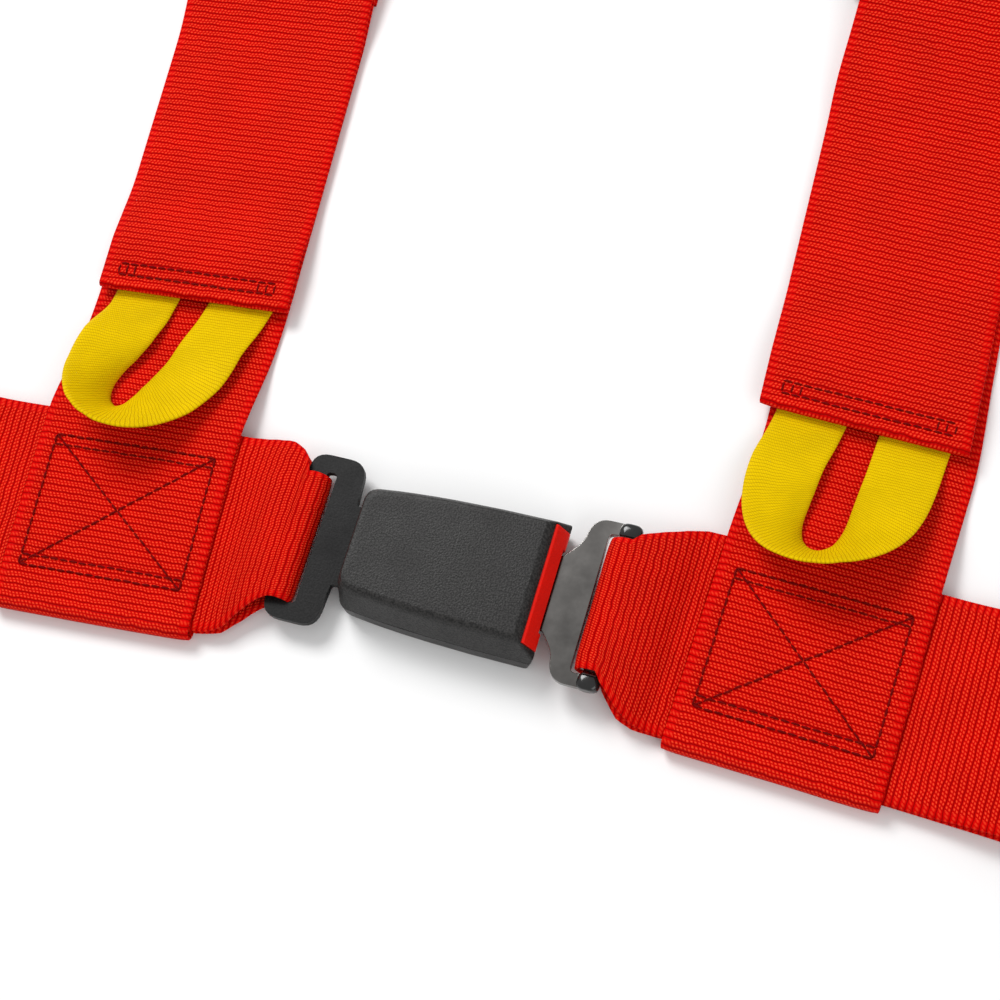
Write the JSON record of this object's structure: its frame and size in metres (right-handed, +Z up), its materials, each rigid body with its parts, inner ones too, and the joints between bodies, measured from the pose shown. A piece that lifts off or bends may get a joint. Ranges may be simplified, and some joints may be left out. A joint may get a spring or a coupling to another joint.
{
  "type": "racing harness",
  "caption": "Webbing safety harness laid flat: lap and shoulder straps sewn in pairs, a push-button buckle with its tongue, slide adjusters, pull loops and bolt-in end plates.",
  "frame": {"origin": "on the resting surface under the middle of the buckle, at the flat underside of the bottom cover", "axes": "+X along the buckle from its anchored end to the tongue, +Y towards the shoulder straps, +Z up from the surface that the harness lies on"},
  "size_m": [0.8811, 0.6017, 0.0344],
  "materials": {
    "webbing": "woven polyester",
    "pull_yellow": "woven polyester",
    "cover_plastic": "fine moulded grain",
    "inner_plastic": "moulded",
    "button_red": "semi-gloss moulded",
    "sleeve_black": "gloss",
    "anchor_black": "satin black coat",
    "chrome": "bright plated",
    "steel": "zinc plated"
  },
  "bodies": {
    "left_straps": {"lap_strap_left": "webbing", "shoulder_lower_strap_left": "webbing"},
    "buckle": {"buckle_bottom_cover": "cover_plastic", "buckle_top_cover": "cover_plastic", "buckle_frame": "anchor_black", "cover_screw_1": "steel", "cover_screw_2": "steel", "latch_pin": "steel", "ejector_spring": "steel"},
    "button": {"release_button": "button_red", "button_spring_1": "steel", "button_spring_2": "steel"},
    "latch": {"latch_plate": "steel", "latch_spring": "steel"},
    "ejector": {"ejector": "inner_plastic"},
    "tongue": {"tongue_plate": "chrome", "tongue_bar_sleeve": "sleeve_black"},
    "right_straps": {"lap_strap_right": "webbing", "shoulder_lower_strap_right": "webbing"},
    "shoulder_adjuster_left": {"shoulder_adjuster_frame_left": "anchor_black", "shoulder_rear_strap_left": "webbing"},
    "shoulder_grip_left": {"shoulder_grip_bar_left": "steel"},
    "shoulder_tail_left": {"shoulder_tail_left": "webbing", "pull_loop_left": "pull_yellow"},
    "shoulder_anchor_left": {"shoulder_anchor_plate_left": "anchor_black"},
    "lap_adjuster_left": {"lap_adjuster_frame_left": "anchor_black", "lap_grip_bar_left": "steel", "lap_anchor_strap_left": "webbing"},
    "lap_anchor_left": {"lap_anchor_plate_left": "anchor_black"},
    "shoulder_adjuster_right": {"shoulder_adjuster_frame_right": "anchor_black", "shoulder_rear_strap_right": "webbing"},
    "shoulder_grip_right": {"shoulder_grip_bar_right": "steel"},
    "shoulder_tail_right": {"shoulder_tail_right": "webbing", "pull_loop_right": "pull_yellow"},
    "shoulder_anchor_right": {"shoulder_anchor_plate_right": "anchor_black"},
    "lap_adjuster_right": {"lap_adjuster_frame_right": "anchor_black", "lap_grip_bar_right": "steel", "lap_anchor_strap_right": "webbing"},
    "lap_anchor_right": {"lap_anchor_plate_right": "anchor_black"}
  },
  "joints": [
    {"name": "buckle_swivel", "type": "hinge", "parent": "left_straps", "child": "buckle", "pos_m": [-0.058, 0, 0.008], "axis": [0, -1, 0], "range_deg": [-30, 30]},
    {"name": "release_press", "type": "slide", "parent": "buckle", "child": "button", "axis": [-1, 0, 0], "range_m": [0, 0.005], "stiffness_N_per_m": 600},
    {"name": "latch_lift", "type": "hinge", "parent": "buckle", "child": "latch", "pos_m": [-0.019, 0, 0.0145], "axis": [0, -1, 0], "range_deg": [0, 8.1]},
    {"name": "tongue_release", "type": "slide", "parent": "buckle", "child": "tongue", "axis": [1, 0, 0], "range_m": [0, 0.05]},
    {"name": "ejector_push", "type": "slide", "parent": "buckle", "child": "ejector", "axis": [1, 0, 0], "range_m": [0, 0.0081]},
    {"name": "tongue_swivel", "type": "hinge", "parent": "tongue", "child": "right_straps", "pos_m": [0.0583, 0, 0.0114], "axis": [0, -1, 0], "range_deg": [-30, 30]},
    {"name": "shoulder_adjuster_tilt_left", "type": "hinge", "parent": "left_straps", "child": "shoulder_adjuster_left", "pos_m": [-0.14065, 0.25673, 0.0065], "axis": [0.9972, 0.075, 0], "range_deg": [0, 35]},
    {"name": "grip_turn_left", "type": "hinge", "parent": "shoulder_adjuster_left", "child": "shoulder_grip_left", "pos_m": [-0.14226, 0.27817, 0.0121], "axis": [0.9972, 0.075, 0], "range_deg": [-35.1, 0]},
    {"name": "tail_lift_left", "type": "hinge", "parent": "shoulder_grip_left", "child": "shoulder_tail_left", "pos_m": [-0.14214, 0.27657, 0.0174], "axis": [-0.9972, -0.075, 0], "range_deg": [0, 45]},
    {"name": "shoulder_anchor_swivel_left", "type": "hinge", "parent": "shoulder_adjuster_left", "child": "shoulder_anchor_left", "pos_m": [-0.15605, 0.46165, 0.0065], "axis": [0.9972, 0.075, 0], "range_deg": [-60, 60]},
    {"name": "lap_adjuster_tilt_left", "type": "hinge", "parent": "left_straps", "child": "lap_adjuster_left", "pos_m": [-0.22047, -0.01532, 0.0065], "axis": [-0.075, 0.9972, 0], "range_deg": [0, 35]},
    {"name": "lap_anchor_swivel_left", "type": "hinge", "parent": "lap_adjuster_left", "child": "lap_anchor_left", "pos_m": [-0.38002, -0.02732, 0.0065], "axis": [-0.075, 0.9972, 0], "range_deg": [-60, 60]},
    {"name": "shoulder_adjuster_tilt_right", "type": "hinge", "parent": "right_straps", "child": "shoulder_adjuster_right", "pos_m": [0.12329, 0.26335, 0.0065], "axis": [0.9991, -0.0419, 0], "range_deg": [0, 35]},
    {"name": "grip_turn_right", "type": "hinge", "parent": "shoulder_adjuster_right", "child": "shoulder_grip_right", "pos_m": [0.12419, 0.28484, 0.0121], "axis": [0.9991, -0.0419, 0], "range_deg": [-35.1, 0]},
    {"name": "tail_lift_right", "type": "hinge", "parent": "shoulder_grip_right", "child": "shoulder_tail_right", "pos_m": [0.12412, 0.28324, 0.0174], "axis": [-0.9991, 0.0419, 0], "range_deg": [0, 45]},
    {"name": "shoulder_anchor_swivel_right", "type": "hinge", "parent": "shoulder_adjuster_right", "child": "shoulder_anchor_right", "pos_m": [0.13189, 0.46867, 0.0065], "axis": [0.9991, -0.0419, 0], "range_deg": [-60, 60]},
    {"name": "lap_adjuster_tilt_right", "type": "hinge", "parent": "right_straps", "child": "lap_adjuster_right", "pos_m": [0.22108, -0.00628, 0.0065], "axis": [-0.0419, -0.9991, 0], "range_deg": [0, 35]},
    {"name": "lap_anchor_swivel_right", "type": "hinge", "parent": "lap_adjuster_right", "child": "lap_anchor_right", "pos_m": [0.38094, -0.01298, 0.0065], "axis": [-0.0419, -0.9991, 0], "range_deg": [-60, 60]}
  ],
  "couplings": [
    {"joint": "latch_lift", "follows": "release_press", "rad_per_m": 27.925},
    {"joint": "ejector_push", "follows": "tongue_release", "ratio": 0.16},
    {"joint": "grip_turn_left", "follows": "shoulder_adjuster_tilt_left", "ratio": -1},
    {"joint": "grip_turn_right", "follows": "shoulder_adjuster_tilt_right", "ratio": -1}
  ]
}
